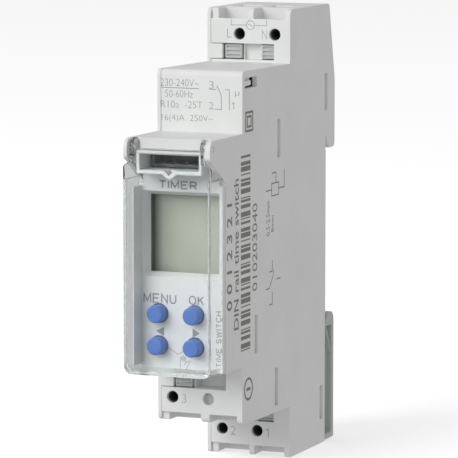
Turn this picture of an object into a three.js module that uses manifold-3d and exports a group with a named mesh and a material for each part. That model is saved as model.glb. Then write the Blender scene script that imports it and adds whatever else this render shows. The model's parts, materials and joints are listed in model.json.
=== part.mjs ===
// A digital time switch for a 35 mm DIN rail, one 17.5 mm module wide.
//
// Millimetres. X runs across the width, Y from the front (-) to the rail and beyond (+), Z up.
// The origin is the middle of the face that rests on the rail.

import * as THREE from "three";
import { mergeVertices } from "three/addons/utils/BufferGeometryUtils.js";
import Module from "manifold-3d";

const wasm = await Module();
wasm.setup();

// ---------------------------------------------------------------- driving dimensions

const halfWidth = 8.75;
const sidePlate = 0.75;          // thickness of the left side cover
const seam = 0.05;               // gap between two fixed plastic pieces
const wall = 1.2;
const rightWall = 1.1;

// Levels along Y.
const coverFront = -60;
const earFront = -59.9;
const bezelFace = -53.5;
const noseFront = -52.3;
const shoulderFront = -44;
const blockFront = -19.5;
const railPlane = 0;
const reliefPlane = -0.2;        // the back wall steps in above and below the face that rests on the rail
const backPlane = 4.9;

// Levels along Z.
const blockTop = 45.5;
const blockBottom = -42.6;
const shoulderTop = 35.3;
const shoulderBottom = -32.1;
const noseTop = 23.5;
const noseBottom = -20.9;
const hookTip = 16.7;
const undercutTop = 19.3;
const undercutDepth = 1.5;
const seatZ = [-16.3, 16.4];

const hinge = { y: -58.2, z: 21.9, knuckle: 1.75, pin: 0.45, hole: 0.53 };

const left = -halfWidth + sidePlate + seam;   // open left edge of the main housing
const innerRight = halfWidth - rightWall;

// ---------------------------------------------------------------- solid modelling helpers

const grid = 1e4;   // vertices are snapped to a tenth of a micrometre, so that shared planes match exactly

/** Turns a three.js geometry into a closed solid. */
function solid(geometry) {
  geometry.deleteAttribute("normal");
  geometry.deleteAttribute("uv");
  const merged = mergeVertices(geometry, 1 / grid);
  const snap = (value) => Math.round(value * grid) / grid;
  const vertProperties = Float32Array.from(merged.attributes.position.array, snap);
  const triVerts = Uint32Array.from(merged.index.array);
  return new wasm.Manifold(new wasm.Mesh({ numProp: 3, vertProperties, triVerts }));
}

const join = (...solids) => solids.flat().reduce((whole, next) => whole.add(next));
const cut = (whole, ...tools) => tools.flat().reduce((rest, tool) => rest.subtract(tool), whole);

/** A box from three ranges. */
function box([x0, x1], [y0, y1], [z0, z1]) {
  const geometry = new THREE.BoxGeometry(x1 - x0, y1 - y0, z1 - z0);
  geometry.translate((x0 + x1) / 2, (y0 + y1) / 2, (z0 + z1) / 2);
  return solid(geometry);
}

/** A round rod or disc along an axis; place is its centre in the two other axes, in X, Y, Z order. */
function rod(axis, radius, [from, to], place, sides = 24) {
  const geometry = new THREE.CylinderGeometry(radius, radius, to - from, sides);
  geometry.translate(0, (from + to) / 2, 0);
  if (axis === "x") geometry.rotateZ(-Math.PI / 2);
  if (axis === "z") geometry.rotateX(Math.PI / 2);
  const [a, b] = place;
  const offset = { x: [0, a, b], y: [a, 0, b], z: [a, b, 0] }[axis];
  geometry.translate(...offset);
  return solid(geometry);
}

/** Replaces each corner [a, b, radius] of an outline that has a radius with an arc. */
function rounded(corners, steps = 4) {
  const points = [];
  corners.forEach(([a, b, radius], index) => {
    const corner = new THREE.Vector2(a, b);
    if (!radius) {
      points.push(corner);
      return;
    }
    const [beforeA, beforeB] = corners.at(index - 1);
    const [afterA, afterB] = corners[(index + 1) % corners.length];
    const back = new THREE.Vector2(beforeA, beforeB).sub(corner).normalize();
    const on = new THREE.Vector2(afterA, afterB).sub(corner).normalize();
    const half = Math.acos(back.dot(on)) / 2;
    const centre = back.clone().add(on).normalize().multiplyScalar(radius / Math.sin(half)).add(corner);
    const start = back.clone().multiplyScalar(radius / Math.tan(half)).add(corner).sub(centre);
    const end = on.clone().multiplyScalar(radius / Math.tan(half)).add(corner).sub(centre);
    const turn = Math.atan2(start.cross(end), start.dot(end));
    for (let step = 0; step <= steps; step++) {
      const angle = start.angle() + (turn * step) / steps;
      points.push(new THREE.Vector2(Math.cos(angle), Math.sin(angle)).multiplyScalar(radius).add(centre));
    }
  });
  return points;
}

/** Extrudes an outline along an axis. Its points are (y, z) along x, (x, z) along y, (x, y) along z. */
function slab(axis, corners, [from, to]) {
  const shape = new THREE.Shape(rounded(corners));
  const geometry = new THREE.ExtrudeGeometry(shape, { depth: to - from, bevelEnabled: false });
  const basis = new THREE.Matrix4();
  const [X, Y, Z] = [[1, 0, 0], [0, 1, 0], [0, 0, 1]].map((v) => new THREE.Vector3(...v));
  if (axis === "x") basis.makeBasis(Y, Z, X).setPosition(from, 0, 0);
  if (axis === "y") basis.makeBasis(X, Z, Y.negate()).setPosition(0, to, 0);
  if (axis === "z") basis.setPosition(0, 0, from);
  geometry.applyMatrix4(basis);
  return solid(geometry);
}

/** The outline of a bent strip of a given thickness along a path of points. */
function stripOutline(path, thickness) {
  const points = path.map(([a, b]) => new THREE.Vector2(a, b));
  const side = (sign) => points.map((point, index) => {
    const before = points[Math.max(index - 1, 0)];
    const after = points[Math.min(index + 1, points.length - 1)];
    const inward = point.equals(before) ? after.clone().sub(point) : point.clone().sub(before);
    const outward = point.equals(after) ? inward.clone() : after.clone().sub(point);
    inward.normalize();
    outward.normalize();
    const tangent = inward.clone().add(outward).normalize();
    const reach = thickness / 2 / tangent.dot(inward);
    return [point.x - tangent.y * reach * sign, point.y + tangent.x * reach * sign];
  });
  return [...side(1), ...side(-1).reverse()];
}

/** A rectangular tube along Y, from its outer ranges and its wall thickness. */
function ring([x0, x1], depth, [z0, z1], thickness) {
  const inner = box([x0 + thickness, x1 - thickness], [depth[0] - 1, depth[1] + 1],
    [z0 + thickness, z1 - thickness]);
  return cut(box([x0, x1], depth, [z0, z1]), inner);
}

// ---------------------------------------------------------------- materials

const material = (color, roughness, metalness = 0, extra = {}) =>
  new THREE.MeshStandardMaterial({ color, roughness, metalness, ...extra });

const finish = {
  housing: material(0xe3e5e2, 0.55),
  bezel: material(0xdfe2df, 0.5),
  lever: material(0xb4b7b5, 0.5),
  button: material(0x3f74cf, 0.45),
  cover: material(0xdfe8ee, 0.08, 0, { transparent: true, opacity: 0.3 }),
  display: material(0xaeb7a8, 0.25),
  black: material(0x2b2d2f, 0.6),
  board: material(0x2f6b45, 0.55),
  copper: material(0xb06a3b, 0.35, 0.9),
  brass: material(0xc7a86a, 0.35, 0.9),
  steel: material(0xb9bcc0, 0.3, 0.95),
  silver: material(0xd5d6d4, 0.3, 0.95),
  yellow: material(0xd9b23a, 0.5),
  blue: material(0x2c4f9e, 0.5),
  rubber: material(0x8d9499, 0.7),
  sleeve: material(0x23262a, 0.4),
};

const timer = new THREE.Group();

/** Adds a solid to the timer as a named mesh. */
function add(name, body, surface) {
  const { vertProperties, triVerts } = body.getMesh();
  const geometry = new THREE.BufferGeometry();
  geometry.setAttribute("position", new THREE.BufferAttribute(vertProperties, 3));
  geometry.setIndex(new THREE.BufferAttribute(triVerts, 1));
  geometry.computeVertexNormals();
  const mesh = new THREE.Mesh(geometry, surface);
  mesh.name = name;
  timer.add(mesh);
}

// ---------------------------------------------------------------- side outline

const ear = [
  [earFront, noseTop, 1.8],
  [earFront, 20, 0.8],
  [noseFront, 15.2, 1.2],
];

const flanks = [
  [noseFront, noseBottom, 0.5],
  [shoulderFront, noseBottom],
  [shoulderFront, shoulderBottom, 1.2],
  [blockFront, shoulderBottom - 0.4],
  [blockFront, blockBottom, 0.6],
  [reliefPlane, blockBottom, 0.4],
  [reliefPlane, seatZ[0]],
  [railPlane, seatZ[0]],
  [railPlane, seatZ[1]],
  [reliefPlane, seatZ[1]],
  [reliefPlane, undercutTop],
  [undercutDepth, hookTip, 0.3],
  [backPlane, hookTip, 1],
  [backPlane, 30.4],
  [1.8, blockTop, 0.8],
  [blockFront, blockTop, 1.2],
  [blockFront, shoulderTop - 0.3],
  [shoulderFront, shoulderTop, 1],
  [shoulderFront, noseTop],
];

const eared = [...ear, ...flanks];
const plain = [[noseFront, noseTop], ...flanks];

const hollow = [
  [noseFront - 1, noseTop - wall],
  [noseFront - 1, noseBottom + wall],
  [shoulderFront + wall, noseBottom + wall],
  [shoulderFront + wall, shoulderBottom + wall],
  [blockFront + wall, shoulderBottom + wall - 0.4],
  [blockFront + wall, blockBottom + wall],
  [railPlane - wall, blockBottom + wall],
  [railPlane - wall, undercutTop + wall],
  [backPlane - wall, undercutTop + wall],
  [backPlane - wall, 30.2],
  [0.8, blockTop - wall],
  [blockFront + wall, blockTop - wall],
  [blockFront + wall, shoulderTop - wall - 0.1],
  [shoulderFront + wall, shoulderTop - wall - 0.1],
  [shoulderFront + wall, noseTop - wall],
];

// ---------------------------------------------------------------- terminals

// Each terminal has a face it opens through, the edge of its wire notch, and the side it points to.
const upperEdge = 43.47;
const lowerEdge = -40.65;
const shoulderEdge = -30.45;

const terminals = [
  { name: "L", x: -3.4, probe: -1.97, face: blockFront, edge: upperEdge, up: 1, reach: 15 },
  { name: "N", x: 3.5, probe: 5.45, face: blockFront, edge: upperEdge, up: 1, reach: 17.2 },
  { name: "3", x: -3.55, probe: -5.7, face: shoulderFront, edge: shoulderEdge, up: -1, reach: 12.5 },
  { name: "2", x: -3.55, probe: -5.59, face: blockFront, edge: lowerEdge, up: -1, reach: 21 },
  { name: "1", x: 3.55, probe: 1.81, face: blockFront, edge: lowerEdge, up: -1, reach: 23.2 },
];

// Distances of a terminal's features: heights are counted from the notch edge towards the middle,
// depths from the face inwards.
const terminal = {
  probeRadius: 1.17,
  probeHeight: 2.95,
  guide: [1.2, 4.3],
  slot: [4.85, 7.95],
  notchDepth: 4.4,
  guideDepth: 12.2,
  wireHole: 2.25,
  wireDepth: [6.7, 11.1],
  leverWidth: 3.5,
  bar: [11.15, 11.95],
};

const sideRib = -6.6;            // inner end of the rib at the open side

/** The Z range at a terminal between two heights. */
const heights = (t, [near, far]) =>
  t.up > 0 ? [t.edge - far, t.edge - near] : [t.edge + near, t.edge + far];

/** The Y range at a terminal between two depths. */
const depths = (t, [near, far]) => [t.face + near, t.face + far];

/** Notch in the front edge above a wire entry, from x0 to x1. */
function notch(t, [x0, x1], depth = terminal.notchDepth) {
  return box([x0, x1], [t.face - 1, t.face + depth], heights(t, [-4, 0]));
}

/** The two notches of a row: the first one has a recessed rib at the housing's open side. */
function notchPair(t, firstEnd, second) {
  const recessed = notch(t, [left - 1, sideRib], 0.6);
  return [recessed, notch(t, [sideRib, firstEnd]), notch(t, second)];
}

/** The solid block that guides the wires behind a row's notches, with the ribs beside the notches. */
function wireGuide(t, divider) {
  const across = [left, innerRight + 0.1];
  const floor = box(across, depths(t, [wall - 0.1, terminal.guideDepth]), heights(t, terminal.guide));
  const upright = heights(t, [-1.2, 4.3]);
  const block = box(across, depths(t, [terminal.notchDepth, terminal.guideDepth]), upright);
  const ribDepth = depths(t, [0.2, terminal.notchDepth + 0.1]);
  return join(floor, block, box(divider, ribDepth, upright), box([left, sideRib], ribDepth, upright));
}

/** The square hole for the wire, through the outer wall and the guide. */
function wireHole(t) {
  const across = [t.x - terminal.wireHole, t.x + terminal.wireHole];
  return box(across, depths(t, terminal.wireDepth), heights(t, [-4, 6]));
}

/** The round hole for a test probe, from the face into the wire hole. */
function probeHole(t, x, depth) {
  const z = t.edge - t.up * terminal.probeHeight;
  return rod("y", terminal.probeRadius, [t.face - 1, t.face + depth], [x, z], 20);
}

// ---------------------------------------------------------------- snap latches

// Five long tongues of the side cover reach across the housing into slots of its right wall.
const latches = [
  { y: 0.1, z: [24.35, 31.75] },
  { y: -25.36, z: [17.35, 24.75] },
  { y: -36.91, z: [-19.25, -11.85] },
  { y: -26.45, z: [-31, -23.6] },
  { y: -2.15, z: [-37.7, -30.9] },
];
const latchSlot = 1.6;

const catchWindow = { y: [-42.75, -36.7], z: [31.9, 33.9] };

// ---------------------------------------------------------------- main housing

function mainHousing() {
  const shell = cut(slab("x", plain, [left, halfWidth]), slab("x", hollow, [left - 1, innerRight]));
  const rightPlate = slab("x", eared, [innerRight, halfWidth]);
  const roof = join(
    box([left, innerRight], [hinge.y + 2, noseFront + 0.1], [noseTop - wall, noseTop]),
    box([-6.6, 6.6], [hinge.y + 1.2, hinge.y + 2.1], [socket.z[1] + 0.1, noseTop]),
  );
  const [L, , three, two] = terminals;
  const guides = [
    wireGuide(L, [-0.05, 1]),
    wireGuide(three, [0.15, 1.9]),
    wireGuide(two, [0.2, 1.2]),
  ];
  const springLug = box([-2.2, 2.2], [reliefPlane - 0.4, 3.3], [-28.8, -27.6]);
  const pockets = [
    { t: L, across: [-1.55, 2.4], depth: 1.9 },
    { t: three, across: [-1.7, 5.31], depth: 4 },
    { t: two, across: [-1.7, 1.7], depth: 1.9 },
  ];
  const blocks = pockets.map(pocketBlock);
  const body = join(shell, rightPlate, roof, guides, blocks, springLug);

  const notches = [
    notchPair(L, -0.05, [1, 7.6]),
    notchPair(three, 0.15, [1.9, 7.5]),
    notchPair(two, 0.2, [1.2, 7.6]),
  ].flat();
  const slots = [slotCut(L, 5.3), slotCut(three, 5.31), slotCut(two, 5.35), pockets.map(pocketHollow)].flat();
  const probes = terminals.map((t) => probeHole(t, t.probe, 8));
  const throughWall = [innerRight - 0.2, halfWidth + 1];
  const latchHoles = latches.map(({ y, z }) => box(throughWall, [y - latchSlot / 2, y + latchSlot / 2], z));
  const catchHole = box(throughWall, catchWindow.y, catchWindow.z);
  const clipSlots = [-7, 7].map((x) => box([x - 0.6, x + 0.6], [-2, 0.1], [-30.8, -19.2]));
  const hingeHole = rod("x", hinge.hole, [innerRight - 1, halfWidth + 1], [hinge.y, hinge.z], 12);
  const blindProbe = probeHole(three, 1.67, 2);
  const sideHoles = [latchHoles, catchHole, hingeHole].flat();
  return cut(body, notches, slots, probes, blindProbe, sideHoles, clipSlots, terminals.map(wireHole));
}

/** The slot for the release levers of a row, through the front wall. */
function slotCut(t, end) {
  return box([left - 1, end], [t.face - 1, t.face + wall], heights(t, terminal.slot));
}

/** A block behind a slot that closes it where there is no lever. */
function pocketBlock({ t, across, depth }) {
  const [near, far] = terminal.slot;
  return box(across, depths(t, [wall - 0.1, depth + 0.6]), heights(t, [near - 0.5, far + 0.5]));
}

/** The hollow in the face of such a block. */
function pocketHollow({ t, across: [x0, x1], depth }) {
  return box([x0 + 0.3, x1 - 0.3], depths(t, [0, depth]), heights(t, terminal.slot));
}

// ---------------------------------------------------------------- side cover

function sideCover() {
  const plate = slab("x", eared, [-halfWidth, -halfWidth + sidePlate]);
  const inside = -halfWidth + sidePlate - 0.1;
  const tongues = latches.map(({ y, z: [low, high] }) =>
    box([inside, halfWidth - 0.85], [y - 0.65, y + 0.65], [low + 0.15, high - 0.15]));
  const [L, , three, two] = terminals;
  const tabs = [L, three, two].map((t) => {
    const [low, high] = heights(t, terminal.slot);
    return box([inside, -5.5], [t.face, t.face + wall], [low + 0.1, high - 0.1]);
  });
  const [y0, y1] = catchWindow.y;
  const [z0, z1] = catchWindow.z;
  const middle = (z0 + z1) / 2;
  const catchArm = join(
    box([inside, innerRight - 0.4], [y0 + 0.15, y1 - 0.15], [z0 + 0.1, z1 - 0.1]),
    box([innerRight - 0.5, halfWidth - 0.15], [y0 + 0.15, y0 + 3.3], [middle - 0.5, middle + 0.45]),
  );
  const hole = rod("x", hinge.hole, [-halfWidth - 1, inside + 1], [hinge.y, hinge.z], 12);
  return cut(join(plate, tongues, tabs, catchArm), hole);
}

// ---------------------------------------------------------------- front: bezel, buttons, display

const buttons = [
  { name: "menu", x: -4.18, z: -9.85 },
  { name: "ok", x: 3.13, z: -9.85 },
  { name: "back", x: -4.18, z: -15.95 },
  { name: "next", x: 3.13, z: -15.95 },
];
const button = { radius: 1.67, bore: 1.8, front: -55.9, collar: 2.2, travel: 0.7 };

const display = { x: 7.5, z: [-3.0, 13.2], slope: 0.85, depth: 2 };
const socket = { half: 6.6, window: 6, z: [16.9, 21.2], windowZ: [17.6, 20.6], front: -58.5 };

/** A straight-sided funnel that narrows inwards from the bezel face. */
function displayFunnel() {
  const [z0, z1] = display.z;
  const wide = display.x;
  const narrow = display.x - display.slope;
  const corners = (x, low, high, y) => [[-x, y, low], [x, y, low], [x, y, high], [-x, y, high]];
  const front = corners(wide, z0, z1, bezelFace);
  const rear = corners(narrow, z0 + display.slope, z1 - display.slope, bezelFace + display.depth);
  const geometry = new THREE.BufferGeometry();
  geometry.setAttribute("position", new THREE.Float32BufferAttribute([...front, ...rear].flat(), 3));
  const sides = [0, 1, 2, 3].flatMap((i) => {
    const next = (i + 1) % 4;
    return [i, i + 4, next, next, i + 4, next + 4];
  });
  geometry.setIndex([0, 1, 2, 0, 2, 3, 4, 6, 5, 4, 7, 6, ...sides]);
  return solid(geometry);
}

function displayBezel() {
  const flange = slab("y", [
    [-8.65, -20.7, 0.4], [8.65, -20.7, 0.4], [8.65, 14.6], [7.45, 14.6],
    [7.45, 22.15], [-7.45, 22.15], [-7.45, 14.6], [-8.65, 14.6],
  ], [bezelFace, noseFront - 0.15]);
  const skirtZ = [noseBottom + wall + 0.1, 22.15];
  const skirt = ring([-7.85, innerRight - 0.1], [noseFront - 0.2, -50], skirtZ, 0.8);
  const collar = box([-7.5, 7.5], [noseFront - 0.2, bezelFace + display.depth], [-3.4, 13.6]);
  const nook = box([-socket.half, socket.half], [socket.front, bezelFace + 0.1], socket.z);
  const windowHole = box([-socket.window, socket.window], [socket.front - 1, -49], socket.windowZ);
  const low = socket.windowZ[0];
  const vee = [[-1.05, low + 0.1], [1.05, low + 0.1], [0, low - 0.95]];
  const fingerNotch = slab("y", vee, [socket.front - 1, -56]);
  const chin = slab("y", [[-1.6, 17], [1.6, 17], [0.45, 16.05], [-0.45, 16.05]], [socket.front, -55.5]);
  const bores = buttons.map(({ x, z }) => rod("y", button.bore, [bezelFace - 1, -49], [x, z], 28));
  const behind = box([-7, 7], [bezelFace + display.depth - 0.01, -49], [-2.9, 13.1]);
  const frontCut = displayFunnel();
  return cut(join(flange, skirt, collar, nook, chin), windowHole, fingerNotch, bores, frontCut, behind);
}

function pushButton({ x, z }) {
  const cap = rod("y", button.radius, [button.front + 0.3, -52.2], [x, z], 28);
  const crown = rod("y", button.radius - 0.25, [button.front, button.front + 0.35], [x, z], 28);
  const collar = rod("y", button.collar, [-52.3, -51.6], [x, z], 28);
  const stem = rod("y", 0.9, [-51.7, -50.25], [x, z], 16);
  return join(cap, crown, collar, stem);
}

function keySwitch({ x, z }) {
  const body = box([x - 2.3, x + 2.3], [-50.1, -47.65], [z - 2.3, z + 2.3]);
  return cut(body, rod("y", 1.1, [-51, -49.3], [x, z], 16));
}

function memorySocket() {
  const body = box([-5.7, 5.7], [-53.4, -47.65], [17.8, 20.4]);
  const mouth = box([-5.1, 5.1], [-54, -49], [18.4, 19.9]);
  const contacts = [-3.6, -1.2, 1.2, 3.6].map((x) => box([x - 0.3, x + 0.3], [-52.6, -48.9], [18.3, 18.75]));
  return join(cut(body, mouth), contacts);
}

// ---------------------------------------------------------------- clear front cover

const shield = {
  half: 8.75,
  thickness: 0.65,
  front: 0.9,
  rear: bezelFace - 0.15,
  bottom: -20.8,
  wallTop: 15.9,
  shoulder: 18.4,
  arm: 7.5,
};

function frontCover() {
  const plateRear = coverFront + shield.front;
  const arm = shield.arm;
  const plate = slab("y", [
    [-shield.half, shield.bottom, 1.5], [shield.half, shield.bottom, 1.5],
    [shield.half, shield.shoulder], [arm, shield.shoulder + 0.9], [arm, 20.8],
    [-arm, 20.8], [-arm, shield.shoulder + 0.9], [-shield.half, shield.shoulder],
  ], [coverFront, plateRear]);
  const outer = slab("y", [
    [-shield.half, shield.bottom, 1.5], [shield.half, shield.bottom, 1.5],
    [shield.half, shield.wallTop], [-shield.half, shield.wallTop],
  ], [plateRear - 0.1, shield.rear]);
  const innerHalf = shield.half - shield.thickness;
  const inner = slab("y", [
    [-innerHalf, shield.bottom + shield.thickness, 1], [innerHalf, shield.bottom + shield.thickness, 1],
    [innerHalf, shield.wallTop + 1], [-innerHalf, shield.wallTop + 1],
  ], [plateRear - 1, shield.rear + 1]);
  const insideOnly = cut(outer, inner);
  const bar = box([-arm, arm], [coverFront, hinge.y - 1.1], [20.7, 21.8]);
  const knuckles = [-1, 1].flatMap((side) => {
    const range = [arm - 0.8, arm].map((x) => x * side).sort((a, b) => a - b);
    const pin = [arm - 0.1, 8.6].map((x) => x * side).sort((a, b) => a - b);
    return [
      rod("x", hinge.knuckle, range, [hinge.y, hinge.z], 24),
      box(range, [coverFront + 0.05, hinge.y + 0.4], [19, hinge.z]),
      rod("x", hinge.pin, pin, [hinge.y, hinge.z], 12),
    ];
  });
  return join(plate, insideOnly, bar, knuckles);
}

// ---------------------------------------------------------------- electronics

const mainBoard = { x: [-6.6, -5.4] };

function circuitBoard() {
  const sheet = slab("x", [
    [-45.2, -18.9], [-45.2, 21.4], [-42.5, 21.4], [-42.5, 31.6], [-36, 31.6], [-36, 33], [-3.4, 33],
    [-3.4, -21.5], [-42.5, -21.5], [-42.5, -18.9],
  ], mainBoard.x);
  const gates = [latches[1], latches[2]].map(({ y, z: [low, high] }) =>
    box([-7, -5], [y - 1, y + 1], [low - 0.3, high + 0.3]));
  return cut(sheet, gates);
}

function cellHolder(y, z) {
  const base = box([-5.35, -4.6], [y - 6.5, y + 6.5], [z - 6.5, z + 6.5]);
  const wallRing = cut(rod("x", 7.2, [-4.65, -2.4], [y, z], 32), rod("x", 6.4, [-5, -2], [y, z], 32));
  return join(base, cut(wallRing, box([-4.6, -2], [y - 8, y + 8], [z - 3, z + 3])));
}

// ---------------------------------------------------------------- relay

const coilAxis = [1.4, -1.5];

function relayBobbin() {
  const flanges = [[-40.1, -39.2], [-24.8, -23.9]].map((range) => rod("y", 4.8, range, coilAxis, 24));
  const tube = rod("y", 2.6, [-39.3, -24.7], coilAxis, 24);
  return cut(join(flanges, tube), rod("y", 1.85, [-41, -23], coilAxis, 24));
}

function relayWinding() {
  return cut(rod("y", 4.4, [-39.1, -24.9], coilAxis, 24), rod("y", 2.7, [-40, -24], coilAxis, 24));
}

function relayCore() {
  return join(rod("y", 1.75, [-40.2, -23.5], coilAxis, 20), rod("y", 2.3, [-23.7, -22.8], coilAxis, 20));
}

function relayYoke() {
  const leg = box([-1.9, 4.7], [-41.4, -22.4], [-8, -6.75]);
  return join(leg, box([-1.9, 4.7], [-41.4, -40.3], [-8, 3.2]));
}

function relayCase() {
  const outer = box([-4, 7.3], [-42, -16.6], [-9.5, 6.2]);
  return cut(outer, box([-5, 6.7], [-41.5, -17.1], [-9, 5.7]));
}

/** A fixed contact: a blade from the relay base with a rivet towards the moving contact. */
function fixedContact([y0, y1], rivet) {
  return join(box([-3.9, 2.5], [y0, y1], [3.95, 5.45]), rod("y", 0.7, rivet, [1.4, 4.7], 12));
}

function movingContact() {
  const blade = box([0.4, 2.4], [-20.95, -20.7], [-5, 5.45]);
  return join(blade, rod("y", 0.75, [-21.7, -20], [1.4, 4.7], 12));
}

// ---------------------------------------------------------------- terminal metal and levers

function clampSpring(t) {
  const place = ([depth, height]) => [t.face + depth, t.edge - t.up * height];
  const path = [[10.6, 10.9], [6.6, 10.9], [6.6, 5.3], [10, 7.4]].map(place);
  return slab("x", stripOutline(path, 0.4), [t.x - 1.5, t.x + 1.5]);
}

function busbar(t) {
  const barDepth = depths(t, terminal.bar);
  const plate = box([t.x - 1.75, t.x + 1.75], barDepth, heights(t, [4.7, t.reach]));
  const foot = box([-5.35, t.x + 1.75], barDepth, heights(t, [t.reach - 1.5, t.reach]));
  return join(plate, foot);
}

function releaseLever(t) {
  const [low, high] = heights(t, terminal.slot);
  const halfLever = terminal.leverWidth / 2;
  const across = t.name === "N" ? [2.5, 5.25] : [t.x - halfLever, t.x + halfLever];
  const body = box(across, depths(t, [0.5, 4.7]), [low + 0.2, high - 0.2]);
  const middle = (low + high) / 2;
  const grooveAcross = [across[0] + 0.35, across[1] - 0.35];
  const grooves = [-0.85, 0, 0.85].map((step) =>
    box(grooveAcross, [t.face, t.face + 0.8], [middle + step - 0.2, middle + step + 0.2]));
  const heel = box(across, depths(t, [1.8, 2.6]), [low - 0.3, high + 0.3]);
  return join(cut(body, grooves), heel);
}

// ---------------------------------------------------------------- rail clip

const clip = { half: 8.6, top: -16.6, bottom: -42.4, plate: [3.9, 5.1], nose: -18.8 };

function railClip() {
  const across = [-clip.half, clip.half];
  const profile = [
    [undercutDepth, clip.top, 0.3],
    [clip.plate[1], clip.top, 1.8],
    [clip.plate[1], clip.bottom, 0.5],
    [0.2, clip.bottom],
    [0.2, clip.bottom + 1.1],
    [clip.plate[0], clip.bottom + 1.1],
    [clip.plate[0], clip.nose - 0.5],
    [0.35, clip.nose - 0.5],
    [0.35, clip.nose - 0.1],
  ];
  const frame = slab("x", profile, across);
  const pry = box([-3, 3], [1.4, 3], [clip.bottom - 1, clip.bottom + 2]);
  const webs = [-1, 1].flatMap((side) => {
    const x = (values) => values.map((value) => value * side).sort((a, b) => a - b);
    const guideZ = [-27.4, -19.6];
    return [
      box(x([6.6, 7.4]), [0.2, 4], [clip.bottom + 1, clip.nose - 0.4]),
      box(x([6.6, 7.4]), [-2.8, 0.3], guideZ),
      box(x([5.5, 6.7]), [-2.8, -1.6], guideZ),
      slab("x", stripOutline([[1.2, -19.2], [3.2, -22.6], [3.95, -25]], 0.5), x([7.3, 8.3])),
    ];
  });
  return join(cut(frame, pry), webs);
}

function clipSpring() {
  const turns = 5;
  const coil = 1.45;
  const middle = 2.05;
  const [top, bottom] = [clip.nose - 0.85, -27.25];
  class Helix extends THREE.Curve {
    getPoint(t) {
      const angle = t * turns * 2 * Math.PI;
      const z = top + (bottom - top) * t;
      return new THREE.Vector3(coil * Math.cos(angle), middle + coil * Math.sin(angle), z);
    }
  }
  const section = new THREE.Shape(new THREE.EllipseCurve(0, 0, 0.25, 0.25).getPoints(6).slice(0, 6));
  const sweep = { steps: 60, extrudePath: new Helix(), bevelEnabled: false };
  return solid(new THREE.ExtrudeGeometry(section, sweep));
}

// ---------------------------------------------------------------- assembly

add("main_housing", mainHousing(), finish.housing);
add("side_cover", sideCover(), finish.housing);
add("display_bezel", displayBezel(), finish.bezel);
add("front_cover", frontCover(), finish.cover);

add("lcd_panel", box([-6.95, 6.95], [-51.45, -49.5], [-2.85, 13.05]), finish.display);
add("lcd_connector_upper", box([-6.3, 6.3], [-49.45, -47.65], [11.6, 12.8]), finish.rubber);
add("lcd_connector_lower", box([-6.3, 6.3], [-49.45, -47.65], [-2.6, -1.4]), finish.rubber);
add("display_board", box([-7.3, 7.1], [-47.6, -46.1], [-18.8, 21.5]), finish.board);
add("microcontroller", box([-2, 5], [-46.05, -44.6], [0, 7]), finish.black);
add("crystal", rod("z", 1, [-9, -3], [4.5, -45], 16), finish.silver);
add("memory_socket", memorySocket(), finish.black);
for (const place of buttons) {
  add(`button_${place.name}`, pushButton(place), finish.button);
  add(`key_switch_${place.name}`, keySwitch(place), finish.black);
}

add("main_board", circuitBoard(), finish.board);
add("board_link", box([-5.35, -2.8], [-46.05, -43.6], [-8, 8]), finish.black);
add("noise_capacitor", box([-5.35, 2.7], [-41.8, -27], [25.6, 31.5]), finish.yellow);
add("smoothing_capacitor", rod("x", 4, [-5.35, 6.6], [-37.5, 16.2], 32), finish.sleeve);
add("varistor", rod("x", 3.8, [-4.6, -1.2], [-29.2, 13.6], 24), finish.blue);
add("fuse_resistor", rod("z", 1.5, [24, 33], [-3.6, -21.3], 16), finish.rubber);
add("bridge_rectifier", box([-5.35, -2.9], [-23.5, -18.7], [10, 14]), finish.black);
add("cell_holder", cellHolder(-11, 17.5), finish.black);
add("backup_cell", rod("x", 6.25, [-4.55, -2.5], [-11, 17.5], 32), finish.silver);

add("relay_base", box([-5.35, -4.1], [-42, -16.6], [-9.5, 6.2]), finish.black);
add("relay_case", relayCase(), finish.black);
add("relay_bobbin", relayBobbin(), finish.rubber);
add("relay_winding", relayWinding(), finish.copper);
add("relay_core", relayCore(), finish.steel);
add("relay_yoke", relayYoke(), finish.steel);
add("relay_armature", box([-1.9, 4.7], [-22.1, -21], [-7.7, 3.2]), finish.steel);
add("relay_moving_contact", movingContact(), finish.copper);
add("relay_contact_open", fixedContact([-24, -23.3], [-23.4, -22.85]), finish.brass);
add("relay_contact_closed", fixedContact([-18.9, -18.2], [-19.9, -18.8]), finish.brass);

for (const t of terminals) {
  add(`busbar_${t.name}`, busbar(t), finish.copper);
  add(`clamp_spring_${t.name}`, clampSpring(t), finish.steel);
  add(`release_lever_${t.name}`, releaseLever(t), finish.lever);
}

add("rail_clip", railClip(), finish.lever);
add("clip_spring", clipSpring(), finish.steel);

export default timer;
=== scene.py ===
"""Looks of a one-module DIN rail timer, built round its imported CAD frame.

Sizes are in millimetres and scaled to metres by MM. X runs across the width, Y from the front (-) to the rail
and beyond (+), Z up.
"""

import json
import math

import bmesh
import bpy
from mathutils import Matrix, Vector

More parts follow.
